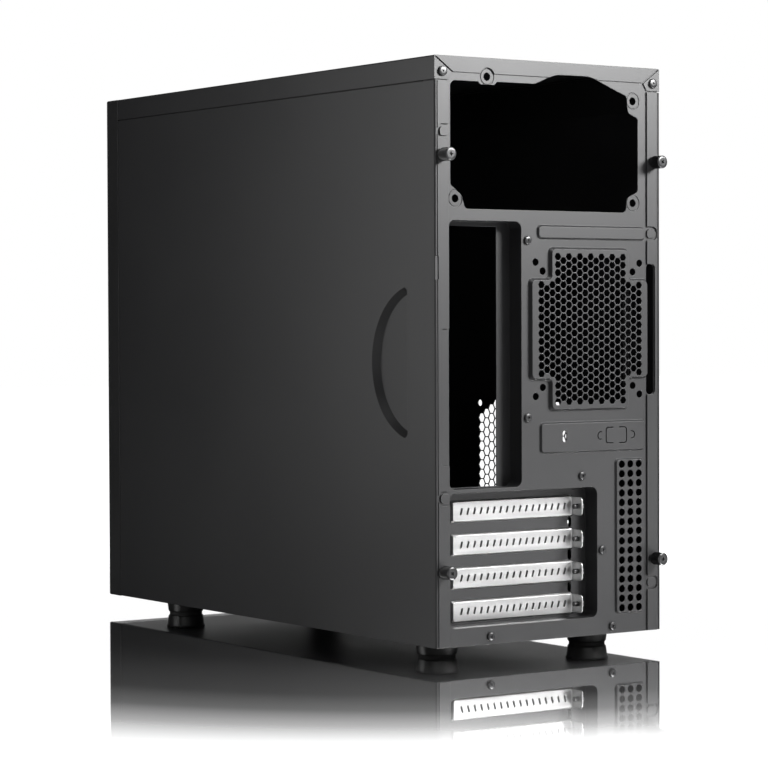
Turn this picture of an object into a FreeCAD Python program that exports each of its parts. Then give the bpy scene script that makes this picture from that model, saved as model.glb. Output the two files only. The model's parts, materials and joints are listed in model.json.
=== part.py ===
import FreeCAD, Part
import math
import os
from FreeCAD import Vector

# Compact tower case for a micro-ATX board, in millimetres.
# +Z is up, the bezel faces -Y, the rear sheet faces +Y, the board tray is on the +X side.
# "across" counts from the tray side's outer face, "up" from the steel underside and
# "back" from the rear sheet's outer face towards the bezel.

# Overall sizes
case_width = 175.0
body_height = 355.5
body_depth = 388.8
bezel_depth = 22.0
foot_height = 10.0

# Sheet steel and clearances
sheet = 0.8
side_gap = 0.6
side_clearance = 0.66
seam_gap = 0.6
flange_gap = 0.3
return_depth = 12.0
slide_clearance = 0.6
bend_outside = 1.1
bend_inside = 0.4

# Top cover and side panels
skirt_height = 14.4
top_flange = 9.5
rail_height = 26.0
rail_lip = 4.0
panel_flange = 10.4
hem_groove = (1.2, 2.1)
hem_groove_depth = 0.5
hem_notch = (221.5, 235.6)
pull_cut_reach = 6.4
pull_corner = 2.6
tray_pull_cut = (109.5, 191.9)
vent_pull_cut = (149.8, 232.1)
tray_locators = (90.0, 310.2)
vent_locators = (30.7, 251.3)
locator_r = 4.4
locator_reach = 8.6
locator_pin_r = 2.7
hook_ups = (60.0, 178.0, 296.0)
hook_length = 6.0
hook_from_front = 8.0

# Pressed grip of a side panel
grip_width = 38.0
grip_height = 93.0
grip_back = 28.4
grip_up = 171.3
grip_slope = 3.2
grip_corner = 3.0

# Vent of the removable side
side_vent_pitch = 6.5
side_vent_hole = 5.7
side_vent_half = 55.0
side_vent_reach = 67.0
side_vent_back = 137.4
side_vent_up = 87.3
side_fan_pattern = 105.0

# Thumbscrews
screw_shank_r = 1.70
screw_clearance = 0.06
flange_hole_clearance = 0.5
thumb_head_r = 4.0
thumb_head_length = 8.4
thumb_collar_r = 3.2
thumb_collar = 1.0
thumb_shank = 8.0
thumb_across = 5.4
thumb_ups = (45.8, 296.2)

# Power supply opening, measured from the lower tray-side screw hole
psu_from_top = 85.3
psu_across = 15.7
psu_hole_r = 2.4
psu_ring = (4.6, 5.4)
psu_holes = ((0.0, 0.0), (138.0, 0.0), (138.0, 64.0), (24.0, 74.0))
psu_edge = 6.0
psu_depth = 140.0
psu_lip = 20.0
psu_rail_width = 14.0

# Board window and card slots
well_depth = 12.0
well_across = 10.8
well_step_across = 10.25
well_step_low = 0.4
well_step_high = 3.0
well_corner = 4.5
window_width = 44.45
window_height = 158.75
window_low = 95.4
slot_pitch = 20.32
slot_count = 4
slot_lowest = 19.8
pocket_width = 113.8
pocket_margin_low = 1.8
pocket_margin_high = 5.2
slot_start = 20.2
slot_end = 110.8
slot_opening = 13.6
divider_height = 5.0
key_hole = (2.8, 6.0)
key_across = 113.1

# Slot covers
cover_fit = 0.25
cover_face = 1.4
cover_tab = 11.4
cover_spacing = 1.92
cover_corner = 2.0
cover_bevel = 0.8
cover_bend = 1.4
cover_holes = 17
cover_hole_pitch = 4.98
cover_hole = (1.3, 4.4)
cover_hole_tilt = 16.0
slot_screw_r = 1.5
slot_screw_head_r = 2.8
slot_screw_head = 1.8
ledge_height = 9.0
ledge_offset = 0.8

# Rear fan grille
fan_across = 117.8
fan_up = 191.3
grille_half_width = 47.0
grille_half_height = 50.6
grille_arm = 31.5
grille_rise = 2.6
grille_slope = 1.3
grille_pitch = 4.97
grille_hole = 4.2
rear_fan_pattern = 82.5
small_fan_pattern = 71.5
fan_hole_r = 2.25

# Small vent and pressed plates of the rear sheet
vent_columns = 3
vent_rows = 16
vent_column_pitch = 6.85
vent_row_pitch = 6.03
vent_hole_r = 2.35
vent_across = 150.3
vent_low = 15.8
press_rise = 1.5
press_slope = 1.0
press_corner = 3.0
rib = (77.4, 163.2, 246.7, 255.4)
lock_plate = (79.2, 163.0, 114.6, 134.0)
lock_slot = (3.0, 7.0)
lock_slot_at = (97.9, 125.0)
serial_at = (139.0, 124.8)
serial_size = (17.0, 10.4)
serial_ear_r = 2.6
serial_ear_pitch = 25.0
serial_cut = 0.6

# Screws of the rear sheet and top cover
rear_screws_at = ((70.1, 245.8), (70.1, 137.2), (112.4, 100.0), (128.3, 53.1), (136.4, 4.8), (41.3, 4.8))
pan_head_r = 2.7
pan_head = 1.5
pan_shank_r = 1.45
pan_shank = 4.0
corner_screw_across = 5.8
corner_screw_head_r = 3.1

# Board tray and standoffs
board_window_offset = 3.81
board_thickness = 1.6
standoff_height = 6.35
standoff_flats = 5.0
standoff_bore_r = 1.45
standoff_stud_r = 1.75
board_rows = (22.0, 67.7, 225.2)
board_columns = (26.0, 181.0, 253.3)
tray_window = (60.0, 165.0, 108.0, 212.0)
tray_window_corner = 8.0
tray_slot_back = 268.0
tray_slot_size = (14.0, 70.0)
tray_slot_ups = (70.0, 190.0)
tray_ear = (100.0, 250.0)

# Drive bays
bay_width = 146.0
bay_side_gap = 0.8
bay_pitch = 42.3
bay_count = 2
bay_low = 252.4
bay_cage_depth = 150.0
bay_screw_slot = (3.6, 12.0)
drive_width = 101.6
drive_side_gap = 0.6
drive_pitch = 30.0
drive_bays = 2
drive_cage_depth = 116.0
cage_lip = 5.0

# Front frame and fan
front_return = 36.0
front_fan_size = 120.0
front_fan_thick = 25.0
front_fan_pattern = 105.0
front_fan_up = 84.0
front_fan_bore = 58.2
fan_blades = 7
fan_blade_clearance = 1.6
fan_blade_tilt = 38.0
fan_hub_r = 20.0
fan_strut = 4.0
fan_shaft_r = 1.5
fan_shaft_clearance = 0.05
cable_hole = (26.0, 16.0)

# Bezel
bezel_gap = 0.3
bezel_wall = 2.2
bezel_round = 8.0
mesh_half_width = 68.0
mesh_low = 16.0
mesh_high = 212.0
mesh_corner = 6.0
mesh_pitch = 8.0
mesh_hole = 6.6
mesh_sheet = 0.8
mesh_lap = 4.0
filter_thick = 3.0
clip_size = (3.0, 6.0)
clip_length = 9.0
clip_inset = 10.0
clip_ups = (40.0, 130.0, 226.0, 340.0)
clip_clearance = 0.5
bay_cover_gap = 0.35
bay_cover_finger = 11.0

# Controls and sockets of the bezel
panel_up = 232.0
button_gap = 0.3
button_travel = 1.6
button_length = 9.4
button_flange = 1.6
button_flange_thick = 1.2
power_r = 7.0
power_x = 52.0
reset_r = 3.0
reset_x = 36.0
led_r = 1.5
led_gap = 0.05
led_xs = (24.0, 18.0)
usb_size = (13.1, 5.7)
usb_wall = 0.4
usb_length = 14.0
usb_xs = (2.0, -16.0)
usb_tongue = (11.1, 1.9)
audio_r = 1.78
audio_body_r = 3.2
audio_xs = (-33.0, -45.0)
io_board_size = (132.0, 18.0)
io_boss = (5.0, 6.0)
io_board_depth = 12.2

# Feet
foot_r = 13.6
foot_low_r = 12.4
foot_round = 0.6
foot_across = 28.5
foot_back = 38.0
foot_from_seam = 44.0
pad_r = 11.5
pad_sink = 2.0
pad_drop = 0.8
foot_screw_r = 1.9
foot_screw_head_r = 3.6
foot_screw_head = 2.2

# Derived places
half = case_width / 2
base = foot_height
top = base + body_height
rear_reach = flange_gap + sheet + thumb_collar + thumb_head_length
rear_y = (bezel_depth + body_depth + rear_reach) / 2 - rear_reach
front_y = rear_y - body_depth
bezel_y = front_y - bezel_depth
bezel_back = front_y - bezel_gap
frame_half = half - sheet - side_gap
flange_y = rear_y + flange_gap
deep_y = rear_y - well_depth
panel_top = top - skirt_height - seam_gap
tray_across = well_across + board_window_offset - board_thickness - standoff_height
psu_up = body_height - psu_from_top
grip_depth = tray_across - 2 * sheet - side_clearance
hook_reach = grip_depth
slide_travel = grip_back - sheet - return_depth - slide_clearance
tray_stop = thumb_shank
flange_hole_r = screw_shank_r + flange_hole_clearance
cover_width = slot_pitch - cover_spacing
well_width = window_width + well_step_across
well_low = window_low - well_step_low
well_high = window_low + window_height + well_step_high
bay_half = bay_width / 2 + bay_side_gap
bay_high = bay_low + bay_count * bay_pitch
pocket_end = well_across + pocket_width
ledge = key_across + ledge_offset
slot_ups = [slot_lowest + i * slot_pitch for i in range(slot_count)]
pocket_low = slot_ups[0] - slot_opening / 2 - pocket_margin_low
pocket_high = slot_ups[-1] + slot_opening / 2 + pocket_margin_high


def across(a):
    return half - a


def up(h):
    return base + h


def back(d):
    return rear_y - d


def block(x0, x1, y0, y1, z0, z1):
    return Part.makeBox(x1 - x0, y1 - y0, z1 - z0, Vector(x0, y0, z0))


def cylinder(radius, start, direction, length):
    return Part.makeCylinder(radius, length, Vector(*start), Vector(*direction))


def along_y(radius, x, z, y0, y1):
    return cylinder(radius, (x, y0, z), (0, 1, 0), y1 - y0)


def both_sides(shape):
    return [shape, shape.mirror(Vector(0, 0, 0), Vector(1, 0, 0))]


def fuse(shapes):
    return shapes[0].fuse(list(shapes[1:])).removeSplitter()


def soften(shape, radius, chosen):
    edges = [e for e in shape.Edges if len(e.Vertexes) == 2 and chosen(e.CenterOfMass, e.tangentAt(e.FirstParameter))]
    return shape.makeFillet(radius, edges)


def near(a, b):
    return abs(a - b) < 1e-3


def cut(shape, tools):
    return shape.cut(Part.makeCompound(list(tools)))


def rounded(points, place):
    """Closed wire through corners (u, v, radius); place turns u, v into a point in space."""
    edges = []
    first = last = None
    for i, (u, v, radius) in enumerate(points):
        here = Vector(u, v, 0)
        before = (Vector(points[i - 1][0], points[i - 1][1], 0) - here).normalize()
        after_u, after_v = points[(i + 1) % len(points)][:2]
        after = (Vector(after_u, after_v, 0) - here).normalize()
        if radius > 0:
            turn = before.getAngle(after)
            reach = radius / math.tan(turn / 2)
            centre = here + (before + after).normalize() * (radius / math.sin(turn / 2))
            bow = centre + (here - centre).normalize() * radius
            start, middle, end = (place(p.x, p.y) for p in (here + before * reach, bow, here + after * reach))
        else:
            start = end = place(u, v)
        if last is not None and (start - last).Length > 1e-6:
            edges.append(Part.LineSegment(last, start).toShape())
        if radius > 0:
            edges.append(Part.Arc(start, middle, end).toShape())
        first = first or start
        last = end
    if (first - last).Length > 1e-6:
        edges.append(Part.LineSegment(last, first).toShape())
    return Part.Wire(edges)


def rectangle(u0, u1, v0, v1, radius, grow=0.0):
    r = max(radius + grow, 0.2) if radius else 0.0
    return [(u0 - grow, v0 - grow, r), (u1 + grow, v0 - grow, r), (u1 + grow, v1 + grow, r), (u0 - grow, v1 + grow, r)]


def centred(u, v, width, height, radius=0.0):
    return rectangle(u - width / 2, u + width / 2, v - height / 2, v + height / 2, radius)


def hexagon(u, v, flats, place):
    reach = flats / math.sqrt(3)
    corners = [place(u + reach * math.cos(math.radians(a)), v + reach * math.sin(math.radians(a)))
               for a in range(0, 360, 60)]
    return Part.makePolygon(corners + corners[:1])


def circle(u, v, radius, place):
    centre = place(u, v)
    normal = (place(u + 1, v) - centre).cross(place(u, v + 1) - centre)
    return Part.Wire([Part.Circle(centre, normal, radius).toShape()])


def honeycomb(pitch, half_u, half_v, inside):
    """Centres of a honeycomb with flats up and down, about (0, 0)."""
    step = pitch * math.sqrt(3) / 2
    columns = int(half_u / step)
    rows = int(half_v / pitch) + 1
    for i in range(-columns, columns + 1):
        shift = pitch / 2 if i % 2 else 0.0
        for j in range(-rows, rows + 1):
            u, v = i * step, j * pitch + shift
            if inside(u, v):
                yield u, v


def slab(outer, holes, shift):
    return Part.makeFace([outer] + list(holes), "Part::FaceMakerBullseye").extrude(shift)


def rear_place(y):
    return lambda a, h: Vector(across(a), y, up(h))


def front_place(y):
    return lambda x, h: Vector(x, y, up(h))


def rear_slab(points, y0, y1, holes=()):
    return slab(rounded(points, rear_place(y0)), holes, Vector(0, y1 - y0, 0))


def front_slab(points, y0, y1, holes=()):
    return slab(rounded(points, front_place(y0)), holes, Vector(0, y1 - y0, 0))


def pill(u, v, width, height):
    radius = min(width, height) / 2 - 0.01
    return centred(u, v, width, height, radius)


# Rear sheet

def psu_outline():
    u, v = psu_across, psu_up
    return [(u - 3.4, v + 8.2, 2.5), (u - 3.4, v + 70.8, 4.0), (u + 17.5, v + 70.8, 1.0), (u + 18.9, v + 69.2, 1.0),
            (u + 29.7, v + 69.2, 1.0), (u + 31.7, v + 71.2, 1.0), (u + 60.8, v + 71.4, 6.0), (u + 76.0, v + 77.6, 22.0),
            (u + 104.0, v + 77.8, 30.0), (u + 133.2, v + 66.8, 2.0), (u + 134.3, v + 56.4, 4.0),
            (u + 142.2, v + 53.4, 2.5), (u + 142.2, v + 7.2, 2.5), (u + 133.9, v + 3.4, 5.0),
            (u + 132.2, v - 6.0, 3.0), (u + 7.5, v - 6.0, 3.0), (u + 4.9, v + 2.6, 5.0)]


def grille_outline(inset):
    w, h, a = grille_half_width - inset, grille_half_height - inset, grille_arm - inset
    c = 3.0
    corners = [(-a, -h), (a, -h), (a, -a), (w, -a), (w, a), (a, a), (a, h), (-a, h), (-a, a), (-w, a), (-w, -a), (-a, -a)]
    return [(fan_across + u, fan_up + v, c) for u, v in corners]


def plate_outline(plate):
    return lambda inset: rectangle(*plate, press_corner, -inset)


def vent_outline(inset):
    wide = (vent_columns - 1) / 2 * vent_column_pitch + vent_hole_r + 2.6
    low = vent_low - vent_hole_r - 1.4
    high = vent_low + (vent_rows - 1) * vent_row_pitch + vent_hole_r + 1.4
    return rectangle(vent_across - wide, vent_across + wide, low, high, press_corner, -inset)


def raised(outline, rise, slope):
    """A pressing that stands out of the rear sheet, and the hollow behind it."""
    foot = rounded(outline(0.0), rear_place(rear_y))
    crown = rounded(outline(slope), rear_place(rear_y + rise))
    loft = Part.makeLoft([foot, crown], True, True)
    skirt = rear_slab(outline(0.0), rear_y - sheet, rear_y)
    return loft.fuse(skirt), loft.translated(Vector(0, -sheet, 0))


def well(points, grown):
    outer = rear_slab(grown, deep_y - sheet, rear_y)
    return outer, rear_slab(points, deep_y, rear_y)


def divider_outline(h):
    return lambda inset: pill((slot_start + slot_end) / 2 - 1, h, slot_end - slot_start - 4 - 2 * inset,
                              divider_height - 2 * inset)


def rear_panel():
    width = case_width / 2 - frame_half
    body = rear_slab(rectangle(width, case_width - width, 0, body_height - sheet, 0), rear_y - sheet, rear_y)
    side = block(frame_half - sheet, frame_half, back(sheet + return_depth), back(sheet), base + 2 * sheet, top - sheet)
    lip = block(-frame_half, frame_half, back(sheet + return_depth), back(sheet), top - 2 * sheet, top - sheet)
    adds, cuts = [*both_sides(side), lip], []
    for outline, rise, slope in [(grille_outline, grille_rise, grille_slope), (plate_outline(rib), press_rise, press_slope),
                                 (plate_outline(lock_plate), press_rise, press_slope), (vent_outline, press_rise, press_slope)]:
        crown, hollow = raised(outline, rise, slope)
        adds.append(crown)
        cuts.append(hollow)
    io_well = (well_across, well_across + well_width, well_low, well_high, well_corner)
    pocket = (well_across, pocket_end, pocket_low, pocket_high, well_corner)
    for space in (io_well, pocket):
        crown, hollow = well(rectangle(*space), rectangle(*space, sheet))
        adds.append(crown)
        cuts.append(hollow)
    for side, ups in ((0, tray_locators), (case_width, vent_locators)):
        inner = abs(side - panel_flange)
        outer = abs(side - panel_flange + locator_reach - 2.0)
        for h in ups:
            adds.append(rear_slab(centred((inner + outer) / 2, h, abs(inner - outer), 2 * locator_pin_r, 2.0),
                                  rear_y, flange_y + sheet))
    for i in range(slot_count - 1):
        h = slot_ups[i] + slot_pitch / 2
        crown = divider_outline(h)(0.0)
        adds.append(rear_slab(crown, deep_y, deep_y + press_rise))
    adds.append(block(across(ledge + sheet), across(ledge), deep_y - sheet, deep_y + ledge_height,
                      up(slot_ups[0] - cover_width / 2), up(slot_ups[-1] + cover_width / 2)))
    body = fuse([body, *adds])
    body = cut(body, cuts)
    return cut(body, rear_holes())


def rear_holes():
    y0, y1 = rear_y - 2 * sheet, rear_y + grille_rise + 1
    holes = [rear_slab(psu_outline(), y0, y1)]
    for u, v in psu_holes:
        a, h = psu_across + u, psu_up + v
        holes.append(along_y(psu_hole_r, across(a), up(h), y0, y1))
        ring = along_y(psu_ring[1], across(a), up(h), rear_y - sheet / 2, y1)
        holes.append(ring.cut(along_y(psu_ring[0], across(a), up(h), y0, y1)))
    deep0, deep1 = deep_y - 2 * sheet, deep_y + sheet
    holes.append(rear_slab(rectangle(well_across, well_across + window_width, window_low, window_low + window_height, 0),
                           deep0, deep1))
    for h in slot_ups:
        holes.append(rear_slab(rectangle(slot_start, ledge, h - slot_opening / 2, h + slot_opening / 2, 1.0),
                               deep0, deep1))
        holes.append(cylinder(slot_screw_r + screw_clearance, (across(key_across), (slot_screw_y()), up(h)), (-1, 0, 0), 4))
    for i in range(slot_count - 1):
        holes.append(rear_slab(pill(key_across - 1.2, slot_ups[i] + slot_pitch / 2, *key_hole), deep0, deep1))
    limit = grille_slope + grille_hole / math.sqrt(3) + 0.3
    tall = grille_hole / 2 + grille_slope + 0.3

    def on_grille(u, v):
        wide, high = abs(u), abs(v)
        upright = wide <= grille_arm - limit and high <= grille_half_height - tall
        level = wide <= grille_half_width - limit and high <= grille_arm - tall
        return upright or level

    for u, v in honeycomb(grille_pitch, grille_half_width, grille_half_height, on_grille):
        wire = hexagon(fan_across + u, fan_up + v, grille_hole, rear_place(rear_y))
        holes.append(Part.Face(wire).extrude(Vector(0, grille_rise + 1, 0)))
    for pattern in (rear_fan_pattern, small_fan_pattern):
        for u in (-pattern / 2, pattern / 2):
            for v in (-pattern / 2, pattern / 2):
                holes.append(along_y(fan_hole_r, across(fan_across + u), up(fan_up + v), y0, y1))
    for i in range(vent_columns):
        for j in range(vent_rows):
            a = vent_across + (i - (vent_columns - 1) / 2) * vent_column_pitch
            holes.append(along_y(vent_hole_r, across(a), up(vent_low + j * vent_row_pitch), rear_y, y1))
    holes.append(rear_slab(pill(*lock_slot_at, *lock_slot), y0, y1))
    holes += serial_cuts()
    thread_r = screw_shank_r + screw_clearance
    for a in (thumb_across, case_width - thumb_across):
        for h in thumb_ups:
            holes.append(along_y(thread_r, across(a), up(h), y0, y1))
    for a, h in rear_screws_at:
        holes.append(along_y(pan_shank_r + screw_clearance, across(a), up(h), y0, y1))
    for a in (corner_screw_across, case_width - corner_screw_across):
        holes.append(along_y(pan_shank_r + screw_clearance, across(a), up(body_height - top_flange), y0, y1))
    far = case_width - panel_flange
    holes.append(rear_slab(rectangle(far, far + pull_cut_reach - 0.5, *vent_pull_cut, pull_corner), y0, y1))
    return holes


def slot_screw_y():
    return deep_y + cover_tab - 4.4


def serial_cuts():
    """The outline of the serial port's knock-out, as thin cuts with bridges left between them."""
    u, v = serial_at
    y0, y1 = rear_y, rear_y + press_rise + 1
    wide, high = serial_size
    outer = rear_slab(centred(u, v, wide, high, 2.0), y0, y1)
    inner = rear_slab(centred(u, v, wide - 2 * serial_cut, high - 2 * serial_cut, 1.4), y0, y1)
    cuts = [outer.cut(inner).cut(rear_slab(centred(u, v, 5.0, high + 2), y0, y1))]
    for side in (-1, 1):
        ear = along_y(serial_ear_r, across(u + side * serial_ear_pitch / 2), up(v), y0, y1)
        core = along_y(serial_ear_r - serial_cut, across(u + side * serial_ear_pitch / 2), up(v), y0, y1)
        bridge = rear_slab(centred(u + side * (serial_ear_pitch / 2 - 2.2), v, 3.0, 2 * serial_ear_r + 1), y0, y1)
        cuts.append(ear.cut(core).cut(bridge))
    return cuts


def slot_cover(h):
    """A blanking plate: pressed face, wider plate behind the sheet, and a screw tab that stands rearwards."""
    gap = cover_fit
    low, high = h - slot_opening / 2 + gap, h + slot_opening / 2 - gap
    bend = ledge - gap
    backing = rear_slab(rectangle(slot_start - 6, bend, h - cover_width / 2, h + cover_width / 2, 1.0),
                        deep_y - 2 * sheet - gap, deep_y - sheet - gap)
    start = slot_start + gap
    face = rear_slab(rectangle(start, bend, low, high, 1.0), deep_y - sheet - gap, deep_y)
    foot_line = rounded(rectangle(start, bend, low, high, 1.0), rear_place(deep_y))
    low, high = low + cover_bevel, high - cover_bevel
    crown_line = rounded(rectangle(start + cover_bevel, bend, low, high, 1.0), rear_place(deep_y + cover_face))
    crown = Part.makeLoft([foot_line, crown_line], True, True)
    low, high = low + 0.1, high - 0.1
    tab = block(across(bend), across(bend - sheet), deep_y - sheet, deep_y + cover_tab, up(low), up(high))
    x, y = across(bend - sheet), deep_y + cover_face
    web = block(x - 0.2, x + cover_bend, y - 0.2, y + cover_bend, up(low), up(high))
    web = web.cut(cylinder(cover_bend, (x + cover_bend, y + cover_bend, up(low) - 1), (0, 0, 1), high - low + 2))
    body = fuse([backing, face, crown, tab, web])
    corners = [e for e in body.Edges if abs(e.CenterOfMass.y - deep_y - cover_tab) < 1e-4
               and abs(e.CenterOfMass.z - up(h)) > (high - low) / 2 - 0.05 and e.Length < sheet + 1e-3]
    body = body.makeFillet(cover_corner, corners)
    holes = [cylinder(slot_screw_r + screw_clearance, (across(bend) - 1, slot_screw_y(), up(h)), (1, 0, 0), 5)]
    tilt = math.radians(cover_hole_tilt)
    for i in range(cover_holes):
        a = slot_start + 7.2 + i * cover_hole_pitch
        shape = rear_slab(pill(a, h, *cover_hole), deep_y - 4, deep_y + 4)
        shape.rotate(Vector(across(a), deep_y, up(h)), Vector(0, 1, 0), -math.degrees(tilt))
        holes.append(shape)
    return cut(body, holes)


def slot_screws():
    x = across(ledge + sheet)
    made = []
    for h in slot_ups:
        head = cylinder(slot_screw_head_r, (x, slot_screw_y(), up(h)), (-1, 0, 0), slot_screw_head)
        shank = cylinder(slot_screw_r, (x, slot_screw_y(), up(h)), (1, 0, 0), 5.0)
        made.append(cut(head.fuse(shank).removeSplitter(), [cross_recess(x - slot_screw_head, slot_screw_y(), up(h), "x")]))
    return Part.makeCompound(made)


def cross_recess(x, y, z, axis):
    """Cross recess of a screw head whose outer face is at the given point."""
    reach, width, depth = 1.4, 0.7, 1.0
    a = block(-reach, reach, -depth, depth, -width / 2, width / 2)
    b = block(-width / 2, width / 2, -depth, depth, -reach, reach)
    shape = a.fuse(b).removeSplitter()
    if axis == "x":
        shape.rotate(Vector(0, 0, 0), Vector(0, 0, 1), 90)
    if axis == "z":
        shape.rotate(Vector(0, 0, 0), Vector(1, 0, 0), 90)
    shape.translate(Vector(x, y, z))
    return shape


def pan_screw(x, z, seat_y, head_r=pan_head_r):
    head = along_y(head_r, x, z, seat_y, seat_y + pan_head)
    rim = [e for e in head.Edges if abs(e.CenterOfMass.y - seat_y - pan_head) < 1e-4 and len(e.Vertexes) == 1
           and e.Length > head_r * 6]
    head = head.makeFillet(pan_head * 0.6, rim)
    shank = along_y(pan_shank_r, x, z, seat_y - pan_shank, seat_y)
    return cut(head.fuse(shank).removeSplitter(), [cross_recess(x, seat_y + pan_head, z, "y")])


def rear_screws():
    return Part.makeCompound([pan_screw(across(a), up(h), rear_y) for a, h in rear_screws_at])


def cover_screws():
    z = up(body_height - top_flange)
    return Part.makeCompound([pan_screw(across(a), z, rear_y + sheet, corner_screw_head_r)
                              for a in (corner_screw_across, case_width - corner_screw_across)])


# Body sheets

def bottom_panel():
    floor = block(-frame_half, frame_half, front_y + sheet, back(sheet), base, base + sheet)
    rear = block(-frame_half + 2, frame_half - 2, back(2 * sheet), back(sheet), base, up(pocket_low - sheet - 0.6))
    side = block(frame_half - sheet, frame_half, front_y + front_return + 2, back(2 * sheet + return_depth), base,
                 base + return_depth)
    body = fuse([floor, rear, *both_sides(side)])
    holes = [cylinder(foot_screw_r + screw_clearance, (x, y, base - 1), (0, 0, 1), 4) for x, y in foot_places()]
    for a, h in rear_screws_at[-2:]:
        holes.append(along_y(pan_shank_r + screw_clearance, across(a), up(h), back(3), rear_y))
    return cut(body, holes)


def top_cover():
    end = rear_y + sheet
    roof = block(-half, half, front_y, end, top - sheet, top)
    skirt = block(half - sheet, half, front_y, end, top - skirt_height, top)
    flange = rear_slab([(0.6, body_height, 0), (14.0, body_height - top_flange, 0),
                        (case_width - 14.0, body_height - top_flange, 0), (case_width - 0.6, body_height, 0)], rear_y, end)
    ear = rear_slab([(0, body_height - skirt_height, 0), (panel_flange, body_height - skirt_height, 0),
                     (13.2, body_height - top_flange - 0.3, 0), (0, body_height - 0.6, 0)], rear_y, end)
    body = fuse([roof, flange, *both_sides(fuse([skirt, ear]))])
    body = soften(body, bend_outside, lambda c, t: near(abs(c.x), half) and near(c.z, top) and near(abs(t.y), 1))
    holes = [rear_slab(psu_outline(), rear_y - 1, end + 1)]
    for a in (corner_screw_across, case_width - corner_screw_across):
        holes.append(along_y(pan_shank_r + screw_clearance, across(a), up(body_height - top_flange), rear_y - 1, end + 1))
    u, v = psu_holes[-1]
    holes.append(along_y(psu_ring[1], across(psu_across + u), up(psu_up + v), rear_y - 1, end + 1))
    return cut(body, holes)


def grip_outline(x, slope, lip):
    """D-shaped outline in the side's plane: chord to the rear, bow to the front."""
    chord = grip_back + lip
    tall = grip_height / 2
    radius = (tall * tall + grip_width * grip_width) / (2 * grip_width)
    middle = grip_back + grip_width - radius
    r = radius - slope
    rise = math.sqrt((r - grip_corner) ** 2 - (chord + grip_corner - middle) ** 2)

    def at(d, h):
        return Vector(x, back(d), up(grip_up + h))

    def bow(h_sign):
        scale = r / (r - grip_corner)
        return at(middle + (chord + grip_corner - middle) * scale, h_sign * rise * scale)

    def corner(h_sign):
        angle = math.atan2(rise, chord + grip_corner - middle)
        turn = (math.pi + angle) / 2
        return at(chord + grip_corner + grip_corner * math.cos(turn), h_sign * (rise + grip_corner * math.sin(turn)))

    return Part.Wire([
        Part.LineSegment(at(chord, -rise), at(chord, rise)).toShape(),
        Part.Arc(at(chord, rise), corner(1), bow(1)).toShape(),
        Part.Arc(bow(1), at(middle + r, 0), bow(-1)).toShape(),
        Part.Arc(bow(-1), corner(-1), at(chord, -rise)).toShape()])


def side_panel(vented):
    """A side panel as it stands on the +X side; the vented one is mirrored afterwards."""
    low, high = base + seam_gap / 2, panel_top
    start, end = front_y + bezel_gap, flange_y + sheet

    def place(d, h):
        return Vector(half - sheet, back(d), up(h))

    holes = []
    if vented:
        holes = side_vent_holes(place)
    skin = slab(rounded([(back(start), low - base, 0), (back(end), low - base, 0), (back(end), high - base, 0),
                         (back(start), high - base, 0)], place), holes, Vector(sheet, 0, 0))
    flange = block(half - panel_flange, half - sheet / 2, flange_y, end, low, high)
    grip = Part.makeLoft([grip_outline(half, 0.0, 0.0), grip_outline(half - grip_depth, grip_slope, 0.8)], True, True)
    adds = [grip.translated(Vector(-sheet, 0, 0))]
    for h in hook_ups:
        y = front_y + hook_from_front
        adds.append(block(half - sheet - hook_reach, half - sheet / 2, y, y + hook_length, up(h), up(h) + sheet))
    body = fuse([skin, flange])
    for x, y, radius in ((half, end, bend_outside), (half - sheet, flange_y, bend_inside)):
        body = soften(body, radius, lambda c, t: near(c.x, x) and near(c.y, y) and near(abs(t.z), 1))
    return cut(fuse([body, *adds]), [grip, *flange_cuts(vented)])


def flange_cuts(vented):
    y0, y1 = flange_y - 1, flange_y + sheet + 1
    cuts = [along_y(flange_hole_r, across(thumb_across), up(h), y0, y1) for h in thumb_ups]
    low, high = vent_pull_cut if vented else tray_pull_cut
    inner = panel_flange
    cuts.append(rear_slab(rectangle(inner - pull_cut_reach, inner + 6, low, high, pull_corner), y0, y1))
    for h in (vent_locators if vented else tray_locators):
        cuts.append(rear_slab(rectangle(inner - locator_reach, inner + 8, h - locator_r, h + locator_r, locator_r - 0.1),
                              y0, y1))
    groove = block(across(hem_groove[1]), across(hem_groove[0]), flange_y + sheet - hem_groove_depth, y1,
                   base, panel_top + 1)
    cuts.append(groove)
    if not vented:
        cuts.append(block(across(hem_groove[1] + 0.5), across(0.4), y0 + sheet + 0.4, y1, up(hem_notch[0]), up(hem_notch[1])))
    return cuts


def side_vent_holes(place):
    wires = []
    corner = side_fan_pattern / 2
    keep = 7.0

    def inside(u, v):
        near_screw = math.hypot(abs(u) - corner, abs(v) - corner) < keep
        return abs(u) <= side_vent_half and abs(v) <= side_vent_half and math.hypot(u, v) < side_vent_reach and not near_screw

    for u, v in honeycomb(side_vent_pitch, side_vent_half, side_vent_half, inside):
        wires.append(hexagon(side_vent_back + u, side_vent_up + v, side_vent_hole, place))
    for u in (-corner, corner):
        for v in (-corner, corner):
            wires.append(circle(side_vent_back + u, side_vent_up + v, fan_hole_r, place))
    return wires


def left_side_panel():
    return side_panel(True).mirror(Vector(0, 0, 0), Vector(1, 0, 0))


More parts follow.
